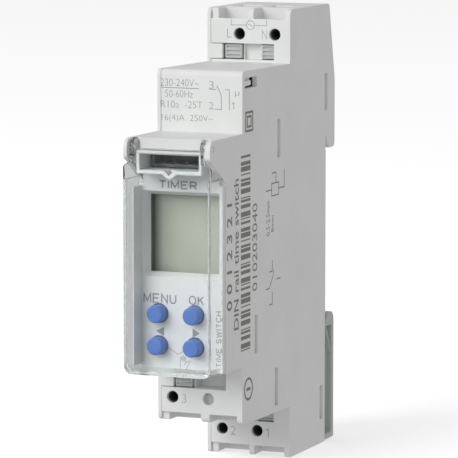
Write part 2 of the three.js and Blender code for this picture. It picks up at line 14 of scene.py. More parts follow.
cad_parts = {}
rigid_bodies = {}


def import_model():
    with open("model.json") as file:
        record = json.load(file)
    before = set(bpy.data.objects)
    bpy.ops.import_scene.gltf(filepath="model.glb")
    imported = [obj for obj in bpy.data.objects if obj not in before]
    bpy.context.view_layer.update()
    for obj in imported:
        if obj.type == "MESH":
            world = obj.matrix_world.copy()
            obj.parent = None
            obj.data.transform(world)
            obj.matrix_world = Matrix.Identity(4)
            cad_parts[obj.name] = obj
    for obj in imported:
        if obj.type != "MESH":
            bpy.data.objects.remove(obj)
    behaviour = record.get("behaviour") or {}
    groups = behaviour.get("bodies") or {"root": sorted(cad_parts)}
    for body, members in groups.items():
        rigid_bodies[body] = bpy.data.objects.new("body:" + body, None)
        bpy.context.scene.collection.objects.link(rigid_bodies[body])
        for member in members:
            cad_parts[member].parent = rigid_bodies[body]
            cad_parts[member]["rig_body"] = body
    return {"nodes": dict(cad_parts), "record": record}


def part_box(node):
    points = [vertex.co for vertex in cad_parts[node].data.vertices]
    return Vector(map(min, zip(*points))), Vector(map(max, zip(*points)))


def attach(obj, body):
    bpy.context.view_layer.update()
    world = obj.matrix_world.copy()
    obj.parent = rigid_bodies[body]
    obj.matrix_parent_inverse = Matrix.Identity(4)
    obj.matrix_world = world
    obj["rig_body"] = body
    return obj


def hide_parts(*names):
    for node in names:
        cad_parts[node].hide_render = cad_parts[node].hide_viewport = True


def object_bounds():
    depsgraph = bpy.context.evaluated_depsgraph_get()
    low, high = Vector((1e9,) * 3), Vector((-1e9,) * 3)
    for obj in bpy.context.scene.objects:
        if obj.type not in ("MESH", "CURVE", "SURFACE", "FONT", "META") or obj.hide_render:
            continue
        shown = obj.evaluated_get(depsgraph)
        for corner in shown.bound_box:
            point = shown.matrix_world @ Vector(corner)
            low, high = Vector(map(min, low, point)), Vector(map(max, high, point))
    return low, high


MM = 0.001

# Faces of the housing that carry print, and the widths that place it.
BEZEL_FACE = -53.5
SHOULDER_FACE = -44.0
BLOCK_FACE = -19.5
SIDE_FACE = 8.75
SIDE_INSET = 0.016       # how far the side face of the housing's skin lies under the print's own face
INK = 0.012              # how far ink stands out of a front face
TERMINALS = ("L", "N", "3", "2", "1")
KEYS = ("menu", "ok", "back", "next")

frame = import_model()
cad_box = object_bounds()
nodes = frame["nodes"]


def mm(*values):
    return Vector(values) * MM


# ---------------------------------------------------------------- camera, light and floor

CAMERA_TURN = math.radians(22.42)
CAMERA_DIP = math.radians(7.09)
CAMERA_LENS = 277.13
CAMERA_OFFSET = (-11.26, 0.05, 708.96)    # right, up and back from the origin, along the camera's own axes


def camera():
    turn, dip = CAMERA_TURN, CAMERA_DIP
    forward = Vector((-math.sin(turn) * math.cos(dip), math.cos(turn) * math.cos(dip), -math.sin(dip)))
    right = Vector((math.cos(turn), math.sin(turn), 0))
    up = right.cross(forward)
    across, rise, back = CAMERA_OFFSET
    data = bpy.data.cameras.new("camera")
    data.lens = CAMERA_LENS
    data.sensor_width = 36
    data.clip_start = 0.01
    data.clip_end = 20
    body = bpy.data.objects.new("camera", data)
    body.matrix_world = Matrix((right, up, -forward)).transposed().to_4x4()
    body.location = (right * across + up * rise - forward * back) * MM
    bpy.context.scene.collection.objects.link(body)
    bpy.context.scene.camera = body


def lamp(name, place, size, power):
    """A square soft light at a place, turned towards the middle of the object."""
    data = bpy.data.lights.new(name, "AREA")
    data.size = size
    data.energy = power
    body = bpy.data.objects.new(name, data)
    body.location = place
    body.rotation_euler = (-Vector(place)).to_track_quat("-Z", "Y").to_euler()
    bpy.context.scene.collection.objects.link(body)


def stage_shader(name, colour, glow_colour, glow):
    """Paper that reflects light and also gives off a little of its own."""
    made = bpy.data.materials.new(name)
    made.use_nodes = True
    tree = made.node_tree
    tree.nodes.clear()
    diffuse = tree.nodes.new("ShaderNodeBsdfDiffuse")
    diffuse.inputs["Color"].default_value = (*colour, 1)
    emission = tree.nodes.new("ShaderNodeEmission")
    emission.inputs["Color"].default_value = (*glow_colour, 1)
    emission.inputs["Strength"].default_value = glow
    both = tree.nodes.new("ShaderNodeAddShader")
    output = tree.nodes.new("ShaderNodeOutputMaterial")
    tree.links.new(diffuse.outputs[0], both.inputs[0])
    tree.links.new(emission.outputs[0], both.inputs[1])
    tree.links.new(both.outputs[0], output.inputs["Surface"])
    return made


STAGE_RADIUS = 3.0
DOME_RADIUS = 3.2
FLOOR_GAP = 0.0002       # how far the floor lies under the object
FLOOR_PAPER = (0.93, 0.93, 0.93)
FLOOR_GLOW = 0.45
BLACK = (0, 0, 0)
WHITE = (1, 1, 1)


def stage():
    """A pale floor under the object and a pale dome behind it, both far larger than the object."""
    floor_mesh = bmesh.new()
    bmesh.ops.create_circle(floor_mesh, cap_ends=True, segments=96, radius=STAGE_RADIUS)
    floor = added("floor", floor_mesh, stage_shader("floor_paper", FLOOR_PAPER, FLOOR_PAPER, FLOOR_GLOW))
    floor.location.z = cad_box[0].z - FLOOR_GAP
    dome_mesh = bmesh.new()
    bmesh.ops.create_uvsphere(dome_mesh, u_segments=48, v_segments=24, radius=DOME_RADIUS)
    dome = added("dome", dome_mesh, stage_shader("dome_paper", BLACK, WHITE, 1.0))
    dome.visible_shadow = False
    for backdrop in (floor, dome):
        backdrop.visible_diffuse = False
        backdrop.visible_glossy = False
        backdrop.visible_transmission = False


def world_light(below, level, above):
    """Soft light from all round, of one strength from below, one from the sides and one from above."""
    world = bpy.data.worlds.new("studio")
    world.use_nodes = True
    tree = world.node_tree
    direction = tree.nodes.new("ShaderNodeTexCoord").outputs["Generated"]
    split = tree.nodes.new("ShaderNodeSeparateXYZ")
    tree.links.new(direction, split.inputs[0])
    blend = tree.nodes.new("ShaderNodeValToRGB")
    blend.color_ramp.elements.new(0.5)
    for stop, strength in zip(blend.color_ramp.elements, (below, level, above)):
        stop.color = (strength, strength, strength, 1)
    tree.links.new(spread(tree, split.outputs["Z"], 0, 1, -1, 1), blend.inputs[0])
    tree.links.new(blend.outputs["Color"], tree.nodes["Background"].inputs["Color"])
    bpy.context.scene.world = world


# ---------------------------------------------------------------- mesh helpers

def added(name, mesh, surface):
    """Turns a bmesh into an object in the scene with one material."""
    data = bpy.data.meshes.new(name)
    mesh.to_mesh(data)
    mesh.free()
    data.materials.append(surface)
    body = bpy.data.objects.new(name, data)
    bpy.context.scene.collection.objects.link(body)
    return body


def soften(piece, width, segments=2):
    """Rounds the sharp edges of a piece. An edge between small features gets a narrower round."""
    mesh = bmesh.new()
    mesh.from_mesh(piece.data)
    layer = mesh.edges.layers.float.new("bevel_weight_edge")
    sharp = {e for e in mesh.edges if e.is_manifold and e.calc_face_angle(0) > math.radians(32)}
    room = {vertex: corner_room(vertex, sharp) for edge in sharp for vertex in edge.verts}
    for edge in sharp:
        edge[layer] = min(1.0, min(room[v] for v in edge.verts) / (width * MM))
    for face in mesh.faces:
        face.smooth = True
    mesh.to_mesh(piece.data)
    mesh.free()
    piece.data.set_sharp_from_angle(angle=math.radians(32))
    bevel = piece.modifiers.new("rounds", "BEVEL")
    bevel.limit_method = "WEIGHT"
    bevel.width = width * MM
    bevel.segments = segments
    bevel.use_clamp_overlap = False
    normals = piece.modifiers.new("even_shading", "WEIGHTED_NORMAL")
    normals.keep_sharp = True


def corner_room(vertex, sharp):
    """How far a corner of triangles can be cut back before the cut meets another edge."""
    room = min(edge.calc_length() for edge in vertex.link_edges) * 0.42
    for face in vertex.link_faces:
        for edge in face.edges:
            if vertex not in edge.verts:
                height = 2 * face.calc_area() / edge.calc_length()
                room = min(room, height * (0.42 if edge in sharp else 0.85))
    return room


def cleaned_copy(node):
    """The CAD node's mesh with shared corners, and with well shaped triangles on its flat faces."""
    mesh = bmesh.new()
    mesh.from_mesh(nodes[node].data)
    bmesh.ops.remove_doubles(mesh, verts=mesh.verts, dist=2e-7)
    bmesh.ops.dissolve_limit(mesh, angle_limit=math.radians(0.6), verts=mesh.verts, edges=mesh.edges)
    bmesh.ops.triangulate(mesh, faces=mesh.faces, ngon_method="BEAUTY")
    flat = [e for e in mesh.edges if e.is_manifold and e.calc_face_angle(1) < math.radians(0.6)]
    bmesh.ops.beautify_fill(mesh, faces=mesh.faces, edges=flat, method="ANGLE")
    bmesh.ops.dissolve_degenerate(mesh, dist=3e-6, edges=mesh.edges)
    return mesh


def stand_in(piece, node):
    """The piece shows in place of a CAD node and rides on its body."""
    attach(piece, nodes[node]["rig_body"])
    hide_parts(node)
    return piece


def refined(node, surface, width, segments=2):
    """A softened copy of a CAD node."""
    piece = added(f"{node}_skin", cleaned_copy(node), surface)
    soften(piece, width, segments)
    return stand_in(piece, node)


def lathe(name, profile, centre, surface, segments=64):
    """Turns a profile of (radius, y) points about a line along Y through centre (x, z)."""
    mesh = bmesh.new()
    x, z = centre
    rings = []
    for radius, y in profile:
        if radius == 0:
            rings.append([mesh.verts.new(mm(x, y, z))])
            continue
        angles = [2 * math.pi * i / segments for i in range(segments)]
        ring = [mm(x + radius * math.cos(a), y, z + radius * math.sin(a)) for a in angles]
        rings.append([mesh.verts.new(point) for point in ring])
    for near, far in zip(rings, rings[1:]):
        for i in range(segments):
            j = (i + 1) % segments
            corners = [near[i % len(near)], near[j % len(near)], far[j % len(far)], far[i % len(far)]]
            mesh.faces.new(list(dict.fromkeys(corners)))
    bmesh.ops.remove_doubles(mesh, verts=mesh.verts, dist=1e-7)
    bmesh.ops.recalc_face_normals(mesh, faces=mesh.faces)
    for face in mesh.faces:
        face.smooth = True
    piece = added(name, mesh, surface)
    piece.data.set_sharp_from_angle(angle=math.radians(40))
    return piece


def arc(centre, radius, start, end, steps):
    """Points on an arc, angles in degrees."""
    turns = [math.radians(start + (end - start) * i / steps) for i in range(steps + 1)]
    return [(centre[0] + radius * math.cos(a), centre[1] + radius * math.sin(a)) for a in turns]


# ---------------------------------------------------------------- materials

def shader(name):
    """A new material: its node tree, its Principled shader and its Object coordinates."""
    made = bpy.data.materials.new(name)
    made.use_nodes = True
    tree = made.node_tree
    principled = tree.nodes["Principled BSDF"]
    place = tree.nodes.new("ShaderNodeTexCoord").outputs["Object"]
    return made, tree, principled, place


def noise(tree, place, scale, detail=2.0, stretch=(1, 1, 1)):
    """A noise texture whose features are about 1/scale metres across."""
    mapping = tree.nodes.new("ShaderNodeMapping")
    mapping.inputs["Scale"].default_value = stretch
    texture = tree.nodes.new("ShaderNodeTexNoise")
    texture.inputs["Scale"].default_value = scale
    texture.inputs["Detail"].default_value = detail
    tree.links.new(place, mapping.inputs["Vector"])
    tree.links.new(mapping.outputs[0], texture.inputs["Vector"])
    return texture.outputs["Fac"]


def ramp(tree, source, low, high, start=0.3, end=0.7):
    """Maps a 0 to 1 value to a colour between low and high."""
    node = tree.nodes.new("ShaderNodeValToRGB")
    node.color_ramp.elements[0].position = start
    node.color_ramp.elements[0].color = (*low, 1)
    node.color_ramp.elements[1].position = end
    node.color_ramp.elements[1].color = (*high, 1)
    tree.links.new(source, node.inputs[0])
    return node.outputs["Color"]


def spread(tree, source, low, high, start=0, end=1):
    """Maps a value between start and end to the range from low to high."""
    node = tree.nodes.new("ShaderNodeMapRange")
    node.inputs["From Min"].default_value = start
    node.inputs["From Max"].default_value = end
    node.inputs["To Min"].default_value = low
    node.inputs["To Max"].default_value = high
    tree.links.new(source, node.inputs["Value"])
    return node.outputs["Result"]


def rough_surface(tree, principled, height, depth):
    """Feeds a height in 0 to 1 to the shader's normal; depth is in metres."""
    bump = tree.nodes.new("ShaderNodeBump")
    bump.inputs["Strength"].default_value = 1.0
    bump.inputs["Distance"].default_value = depth
    tree.links.new(height, bump.inputs["Height"])
    tree.links.new(bump.outputs["Normal"], principled.inputs["Normal"])


def shaded(colour, factor):
    """A colour made lighter or darker by a factor."""
    return tuple(min(1.0, c * factor) for c in colour)


def moulded(name, colour, roughness, grain=7000, depth=4e-6, mottle=0.03):
    """Moulded plastic: spark-eroded grain, a slight cloudiness and small changes in gloss."""
    made, tree, principled, place = shader(name)
    cloud = noise(tree, place, 90, 3)
    fine = noise(tree, place, grain, 2)
    tint = ramp(tree, cloud, shaded(colour, 1 - mottle), shaded(colour, 1 + mottle))
    tree.links.new(tint, principled.inputs["Base Color"])
    tree.links.new(spread(tree, fine, roughness - 0.06, roughness + 0.06), principled.inputs["Roughness"])
    rough_surface(tree, principled, fine, depth)
    principled.inputs["Specular IOR Level"].default_value = 0.35
    return made


def ink(name, colour):
    """Pad-printed ink with slightly uneven cover."""
    made, tree, principled, place = shader(name)
    patches = noise(tree, place, 4000, 3)
    tint = ramp(tree, patches, shaded(colour, 0.9), shaded(colour, 1.12))
    tree.links.new(tint, principled.inputs["Base Color"])
    tree.links.new(spread(tree, patches, 0.5, 0.7), principled.inputs["Roughness"])
    return made


def metal(name, colour, roughness):
    """Drawn or rolled metal: fine lines along one direction and soft smears."""
    made, tree, principled, place = shader(name)
    lines = noise(tree, place, 3000, 2, (1, 1, 12))
    smear = noise(tree, place, 250, 3)
    tint = ramp(tree, smear, shaded(colour, 0.86), shaded(colour, 1.08))
    tree.links.new(tint, principled.inputs["Base Color"])
    tree.links.new(spread(tree, lines, roughness - 0.08, roughness + 0.12), principled.inputs["Roughness"])
    rough_surface(tree, principled, lines, 2e-6)
    principled.inputs["Metallic"].default_value = 1.0
    return made


def silicone(name, colour):
    """Soft rubber keys: satin, with a faint powdery sheen."""
    made, tree, principled, place = shader(name)
    cloud = noise(tree, place, 400, 3)
    fine = noise(tree, place, 9000, 2)
    tint = ramp(tree, cloud, shaded(colour, 0.95), shaded(colour, 1.06))
    tree.links.new(tint, principled.inputs["Base Color"])
    tree.links.new(spread(tree, fine, 0.42, 0.55), principled.inputs["Roughness"])
    rough_surface(tree, principled, fine, 2e-6)
    principled.inputs["Sheen Weight"].default_value = 0.25
    principled.inputs["Sheen Roughness"].default_value = 0.4
    return made


def clear_plastic(name, tint):
    """Clear moulded plastic. Light from lamps passes straight through it, so what is under it stays lit."""
    made, tree, principled, place = shader(name)
    haze = noise(tree, place, 300, 3)
    tree.links.new(spread(tree, haze, 0.02, 0.06), principled.inputs["Roughness"])
    colour = ramp(tree, haze, shaded(tint, 0.985), tint)
    tree.links.new(colour, principled.inputs["Base Color"])
    principled.inputs["Transmission Weight"].default_value = 1.0
    principled.inputs["IOR"].default_value = 1.36
    straight = tree.nodes.new("ShaderNodeBsdfTransparent")
    straight.inputs["Color"].default_value = (0.93, 0.94, 0.94, 1)
    path = tree.nodes.new("ShaderNodeLightPath")
    mix = tree.nodes.new("ShaderNodeMixShader")
    tree.links.new(path.outputs["Is Shadow Ray"], mix.inputs["Fac"])
    tree.links.new(principled.outputs[0], mix.inputs[1])
    tree.links.new(straight.outputs[0], mix.inputs[2])
    tree.links.new(mix.outputs[0], tree.nodes["Material Output"].inputs["Surface"])
    return made


def circuit_green(name, colour):
    """Solder mask over copper tracks: tracks show as slightly raised lighter lines."""
    made, tree, principled, place = shader(name)
    tracks = tree.nodes.new("ShaderNodeTexBrick")
    tracks.inputs["Scale"].default_value = 260
    tracks.inputs["Mortar Size"].default_value = 0.06
    tracks.inputs["Color1"].default_value = (0, 0, 0, 1)
    tracks.inputs["Color2"].default_value = (0.15, 0.15, 0.15, 1)
    tracks.inputs["Mortar"].default_value = (1, 1, 1, 1)
    turned = tree.nodes.new("ShaderNodeMapping")
    turned.inputs["Rotation"].default_value = (0, math.radians(90), math.radians(90))
    tree.links.new(place, turned.inputs["Vector"])
    tree.links.new(turned.outputs[0], tracks.inputs["Vector"])
    weave = noise(tree, place, 2500, 2)
    tint = ramp(tree, tracks.outputs["Color"], colour, shaded(colour, 1.7), 0.1, 0.9)
    tree.links.new(tint, principled.inputs["Base Color"])
    tree.links.new(spread(tree, weave, 0.28, 0.42), principled.inputs["Roughness"])
    rough_surface(tree, principled, tracks.outputs["Color"], 8e-6)
    principled.inputs["Coat Weight"].default_value = 0.4
    return made


WIRE_PITCH = 0.12


def wound_wire(name, colour):
    """Enamelled copper wire wound in turns along Y, darker between the turns as painted shade of the grooves.
    """
    made, tree, principled, place = shader(name)
    turns = tree.nodes.new("ShaderNodeTexWave")
    turns.bands_direction = "Y"
    turns.inputs["Scale"].default_value = 1 / (WIRE_PITCH * MM) / 20 * math.pi
    turns.inputs["Distortion"].default_value = 0.4
    tree.links.new(place, turns.inputs["Vector"])
    # Painted shade: the colour falls to under half between the turns, in the grooves between the wires.
    tint = ramp(tree, turns.outputs["Fac"], shaded(colour, 0.45), colour, 0.1, 0.8)
    tree.links.new(tint, principled.inputs["Base Color"])
    tree.links.new(spread(tree, turns.outputs["Fac"], 0.45, 0.25), principled.inputs["Roughness"])
    rough_surface(tree, principled, turns.outputs["Fac"], 3e-5)
    principled.inputs["Metallic"].default_value = 0.8
    return made


DISPLAY_PAINTED_SHADE_SPAN = (-6.6, -5.0)    # painted shade of the display's frame: from the display's left edge to where its colour is full
DISPLAY_PAINTED_SHADE_LEVEL = 0.42              # share of its colour left at that edge under the painted shade


def crystal_layer(name, colour):
    """The reflective layer of a liquid crystal display, with painted shade towards its left edge, where its
    deep frame keeps the light off it.
    """
    made, tree, principled, place = shader(name)
    grain = noise(tree, place, 5000, 2, (1, 1, 0.2))
    wash = noise(tree, place, 60, 2)
    tint = ramp(tree, wash, shaded(colour, 0.93), shaded(colour, 1.05))
    split = tree.nodes.new("ShaderNodeSeparateXYZ")
    tree.links.new(place, split.inputs[0])
    # Painted shade: the colour darkens towards the left edge, in place of the shadow of the display's frame.
    edge, full = DISPLAY_PAINTED_SHADE_SPAN
    painted_shade = spread(tree, split.outputs["X"], DISPLAY_PAINTED_SHADE_LEVEL, 1, edge * MM, full * MM)
    painted_shade_tint = tree.nodes.new("ShaderNodeVectorMath")
    painted_shade_tint.operation = "SCALE"
    tree.links.new(tint, painted_shade_tint.inputs[0])
    tree.links.new(painted_shade, painted_shade_tint.inputs["Scale"])
    tree.links.new(painted_shade_tint.outputs[0], principled.inputs["Base Color"])
    tree.links.new(spread(tree, grain, 0.35, 0.5), principled.inputs["Roughness"])
    principled.inputs["Coat Weight"].default_value = 0.15
    principled.inputs["Coat Roughness"].default_value = 0.15
    return made


GREY = (0.80, 0.81, 0.80)

surfaces = {
    "housing_plastic": moulded("housing_plastic", GREY, 0.5),
    "bezel_plastic": moulded("bezel_plastic", (0.77, 0.785, 0.785), 0.45, grain=9000, depth=2e-6),
    "lever_plastic": moulded("lever_plastic", (0.52, 0.54, 0.53), 0.5),
    "clip_plastic": moulded("clip_plastic", (0.50, 0.54, 0.51), 0.45),
    "button_rubber": silicone("button_rubber", (0.08, 0.19, 0.56)),
    "cover_clear": clear_plastic("cover_clear", (0.93, 0.94, 0.94)),
    "display_glass": crystal_layer("display_glass", (0.46, 0.50, 0.41)),
    "black_plastic": moulded("black_plastic", (0.045, 0.047, 0.05), 0.5, mottle=0.1),
    "board": circuit_green("board", (0.02, 0.13, 0.05)),
    "copper": metal("copper", (0.80, 0.42, 0.26), 0.3),
    "brass": metal("brass", (0.78, 0.62, 0.32), 0.3),
    "steel": metal("steel", (0.60, 0.61, 0.62), 0.3),
    "silver": metal("silver", (0.72, 0.72, 0.72), 0.25),
    "yellow_film": moulded("yellow_film", (0.62, 0.42, 0.05), 0.35, grain=2500),
    "blue_coat": moulded("blue_coat", (0.02, 0.07, 0.30), 0.3, grain=1800, depth=1.5e-5),
    "grey_rubber": moulded("grey_rubber", (0.22, 0.24, 0.25), 0.65),
    "sleeve": moulded("sleeve", (0.02, 0.022, 0.03), 0.3, grain=1500),
    "winding": wound_wire("winding", (0.70, 0.30, 0.12)),
    "socket_plastic": moulded("socket_plastic", (0.16, 0.18, 0.19), 0.5),
    "front_ink": ink("front_ink", (0.28, 0.29, 0.31)),
    "bezel_ink": ink("bezel_ink", (0.29, 0.30, 0.315)),
    "pale_ink": ink("pale_ink", (0.42, 0.43, 0.44)),
    "side_ink": ink("side_ink", (0.21, 0.21, 0.185)),
    "hole_shadow": moulded("hole_shadow", (0.06, 0.07, 0.07), 0.8),
}


# ---------------------------------------------------------------- shells

def inset_side(piece):
    """Sinks the printed side face a little, so that the ink ends flush with the CAD's side face."""
    for vertex in piece.data.vertices:
        if vertex.co.x > (SIDE_FACE - 1e-4) * MM:
            vertex.co.x = (SIDE_FACE - SIDE_INSET) * MM


def shells():
    """Softened copies of the casings, the cover, the clip and the levers."""
    housing = added("main_housing_skin", cleaned_copy("main_housing"), surfaces["housing_plastic"])
    inset_side(housing)
    soften(housing, 0.22, 3)
    stand_in(housing, "main_housing")
    refined("side_cover", surfaces["housing_plastic"], 0.22, 3)
    refined("display_bezel", surfaces["bezel_plastic"], 0.14)
    refined("front_cover", surfaces["cover_clear"], 0.16)
    refined("rail_clip", surfaces["clip_plastic"], 0.2)
    for name in TERMINALS:
        refined(f"release_lever_{name}", surfaces["lever_plastic"], 0.12)


# ---------------------------------------------------------------- terminals

# Sizes of the near-black tubes in the probe holes, which are painted shade.
PROBE = {"outer": 1.15, "inner": 1.0, "start": 0.8, "end": 6.7}
PROBE_PLACES = {
    "L": (-1.97, 40.52, BLOCK_FACE), "N": (5.45, 40.52, BLOCK_FACE), "3": (-5.7, -27.5, SHOULDER_FACE),
    "2": (-5.59, -37.7, BLOCK_FACE), "1": (1.81, -37.7, BLOCK_FACE),
}


def shade_in_probe_holes():
    """A near-black tube in each probe hole, a little behind its mouth: painted shade of the hole's dark
    inside.
    """
    for name, (x, z, face) in PROBE_PLACES.items():
        start, end = face + PROBE["start"], face + PROBE["end"]
        outer, inner = PROBE["outer"], PROBE["inner"]
        profile = [(inner, start), (outer, start), (outer, end), (inner, end), (inner, start)]
        sleeve = lathe(f"probe_hole_shade_{name}", profile, (x, z), surfaces["hole_shadow"], 40)
        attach(sleeve, "housing")


# Place and depth of the grey disc in the unused probe hole; its grey is painted shade.
BLANK_HOLE_SHADE = {"place": (1.67, -27.5), "radius": 1.12, "start": 1.3, "end": 1.9}


def blank_hole_shade_disc():
    """A grey disc inside the unused probe hole beside terminal 3, whose grey is painted shade of the hole's
    inside.
    """
    front, rear, radius = SHOULDER_FACE + BLANK_HOLE_SHADE["start"], SHOULDER_FACE + BLANK_HOLE_SHADE["end"], BLANK_HOLE_SHADE["radius"]
    profile = [(0, front), (radius, front), (radius, rear), (0, rear)]
    shade_disc = lathe("blank_hole_shade_disc", profile, BLANK_HOLE_SHADE["place"], surfaces["lever_plastic"], 40)
    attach(shade_disc, "housing")


# ---------------------------------------------------------------- front

KEY_PLACES = {"menu": (-4.18, -9.85), "ok": (3.13, -9.85), "back": (-4.18, -15.95), "next": (3.13, -15.95)}
KEY = {
    "radius": 1.67, "round": 0.42, "front": -55.9, "collar": 2.2, "seat": -52.3, "back": -51.6,
    "stem": 0.9, "foot": -50.25,
}


def keys():
    """Domed rubber keys with a collar behind the bezel and a stem to the switch."""
    radius, curve, front, collar = KEY["radius"], KEY["round"], KEY["front"], KEY["collar"]
    profile = [(0, front + 0.02), (0.6, front)]
    profile += arc((radius - curve, front + curve), curve, -90, 0, 6)
    profile += [(radius, KEY["seat"]), (collar, KEY["seat"]), (collar, KEY["back"])]
    profile += [(KEY["stem"], KEY["back"]), (KEY["stem"], KEY["foot"] - 0.05)]
    profile += [(KEY["stem"] - 0.15, KEY["foot"]), (0, KEY["foot"])]
    for name, centre in KEY_PLACES.items():
        key = lathe(f"key_{name}", profile, centre, surfaces["button_rubber"])
        stand_in(key, f"button_{name}")


DISPLAY_RIM = 0.32       # width of the near-black frame round the display, which is painted shade of the window's walls
DISPLAY_DEPTH = 1.6      # how far the reflective layer lies behind the frame's front


def display():
    """The display: the reflective layer, in a near-black frame that is painted shade of the window's walls.
    """
    low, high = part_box("lcd_panel")
    front, rear = low.y / MM, high.y / MM
    x, z0, z1 = high.x / MM, low.z / MM, high.z / MM
    layer, rim = front + DISPLAY_DEPTH, DISPLAY_RIM
    mesh = bmesh.new()
    box_into(mesh, (-x + rim, x - rim), (layer, rear), (z0 + rim, z1 - rim))
    panel = added("display_layer", mesh, surfaces["display_glass"])
    soften(panel, 0.05)
    stand_in(panel, "lcd_panel")
    # A near-black frame round the layer: painted shade of the walls of the display's window.
    shade_frame_mesh = bmesh.new()
    depth = (front + 0.02, rear)
    bar = rim - 0.01
    box_into(shade_frame_mesh, (-x, -x + bar), depth, (z0, z1))
    box_into(shade_frame_mesh, (x - bar, x), depth, (z0, z1))
    box_into(shade_frame_mesh, (-x + rim, x - rim), depth, (z0, z0 + bar))
    box_into(shade_frame_mesh, (-x + rim, x - rim), depth, (z1 - bar, z1))
    shade_frame = added("display_shade_frame", shade_frame_mesh, surfaces["hole_shadow"])
    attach(shade_frame, "housing")


BEZEL_RIM = {"across": (-8.0, -7.72), "front": -57.2, "rise": (-19.6, 14.2)}


def bezel_rim():
    """A low rib on the bezel along the inside of the cover's left wall."""
    mesh = bmesh.new()
    depth = (BEZEL_RIM["front"], BEZEL_FACE - 0.02)
    box_into(mesh, BEZEL_RIM["across"], depth, BEZEL_RIM["rise"])
    rim = added("bezel_rim", mesh, surfaces["bezel_plastic"])
    soften(rim, 0.08)
    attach(rim, "housing")


def box_into(mesh, xs, ys, zs):
    """Adds a box from three ranges to a bmesh."""
    made = bmesh.ops.create_cube(mesh, size=1)
    size = Vector((xs[1] - xs[0], ys[1] - ys[0], zs[1] - zs[0])) * MM
    centre = Vector((sum(xs), sum(ys), sum(zs))) * MM / 2
    for vertex in made["verts"]:
        vertex.co = Vector(a * b for a, b in zip(vertex.co, size)) + centre


# ---------------------------------------------------------------- print

FRONT = {"right": Vector((1, 0, 0)), "up": Vector((0, 0, 1))}
SIDE = {"right": Vector((0, 1, 0)), "up": Vector((0, 0, 1))}
SIDE_UPRIGHT = {"right": Vector((0, 0, 1)), "up": Vector((0, -1, 0))}


def placed(point, face, way):
    """A point of the drawing on a face: (x, z) on a front face, or (y, z) on the side face."""
    a, b = point
    return mm(face, a, b) if way in (SIDE, SIDE_UPRIGHT) else mm(a, face, b)


def lettering(mesh, words, box, face, way, weight=0.0):
    """Adds letters to a bmesh that fill a box ((a0, a1), (z0, z1)) on a face, read along way["right"]."""
    curve = bpy.data.curves.new("lettering", "FONT")
    curve.body = words
    curve.offset = weight
    curve.extrude = 0.5
    curve.resolution_u = 3
    holder = bpy.data.objects.new("lettering", curve)
    letters = bpy.data.meshes.new_from_object(holder)
    xs = [v.co.x for v in letters.vertices]
    ys = [v.co.y for v in letters.vertices]
    (a0, a1), (z0, z1) = box
    upright = way is SIDE_UPRIGHT
    length, height = (z1 - z0, a1 - a0) if upright else (a1 - a0, z1 - z0)
    start = (a1, z0) if upright else (a0, z0)
    origin = placed(start, face, way)
    normal = way["right"].cross(way["up"])
    for vertex in letters.vertices:
        along = (vertex.co.x - min(xs)) / (max(xs) - min(xs)) * length
        rise = (vertex.co.y - min(ys)) / (max(ys) - min(ys)) * height
        out = ink_level(vertex.co.z > 0, way)
        vertex.co = origin + (way["right"] * along + way["up"] * rise + normal * out) * MM
    mesh.from_mesh(letters)
    bpy.data.objects.remove(holder)
    bpy.data.curves.remove(curve)
    bpy.data.meshes.remove(letters)


def ink_level(top, way):
    """Height of the ink's two faces over the face it is printed on."""
    if way in (SIDE, SIDE_UPRIGHT):
        return -0.001 if top else -SIDE_INSET - 0.02
    return INK if top else -0.02


def ribbon(mesh, points, width, face, way, closed=False):
    """Adds a line of ink of a given width along points, with mitred corners."""
    count = len(points)
    flat = [Vector(p) for p in points]
    sides = ([], [])
    for i, point in enumerate(flat):
        before = flat[i - 1] if closed or i > 0 else point
        after = flat[(i + 1) % count] if closed or i < count - 1 else point
        coming = (point - before).normalized() if before != point else (after - point).normalized()
        going = (after - point).normalized() if after != point else coming
        tangent = (coming + going).normalized()
        reach = width / 2 / max(0.35, tangent.dot(coming))
        offset = Vector((-tangent.y, tangent.x)) * reach
        sides[0].append(point + offset)
        sides[1].append(point - offset)
    normal = way["right"].cross(way["up"])
    rows = []
    for top in (True, False):
        lift = normal * ink_level(top, way) * MM
        rows.append([[mesh.verts.new(placed(p, face, way) + lift) for p in side] for side in sides])
    (a, b), (c, d) = rows
    last = count if closed else count - 1
    for i in range(last):
        j = (i + 1) % count
        mesh.faces.new((a[i], b[i], b[j], a[j]))
        mesh.faces.new((c[i], c[j], d[j], d[i]))
        mesh.faces.new((a[i], a[j], c[j], c[i]))
        mesh.faces.new((b[i], d[i], d[j], b[j]))
    if not closed:
        mesh.faces.new((a[0], c[0], d[0], b[0]))
        mesh.faces.new((a[-1], b[-1], d[-1], c[-1]))


def circle(centre, radius):
    return arc(centre, radius, 0, 360, 28)[:-1]


def patch(mesh, corners, face, way):
    """Adds a filled shape of ink with convex corners."""
    normal = way["right"].cross(way["up"])
    top, base = [
        [mesh.verts.new(placed(p, face, way) + normal * ink_level(level, way) * MM) for p in corners]
        for level in (True, False)
    ]
    mesh.faces.new(top)
    mesh.faces.new(base[::-1])
    for i in range(len(corners)):
        j = (i + 1) % len(corners)
        mesh.faces.new((top[j], top[i], base[i], base[j]))


def printed(name, mesh, surface):
    """Finishes a layer of print as one piece that rides on the housing."""
    bmesh.ops.recalc_face_normals(mesh, faces=mesh.faces)
    piece = added(name, mesh, surfaces[surface])
    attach(piece, "housing")


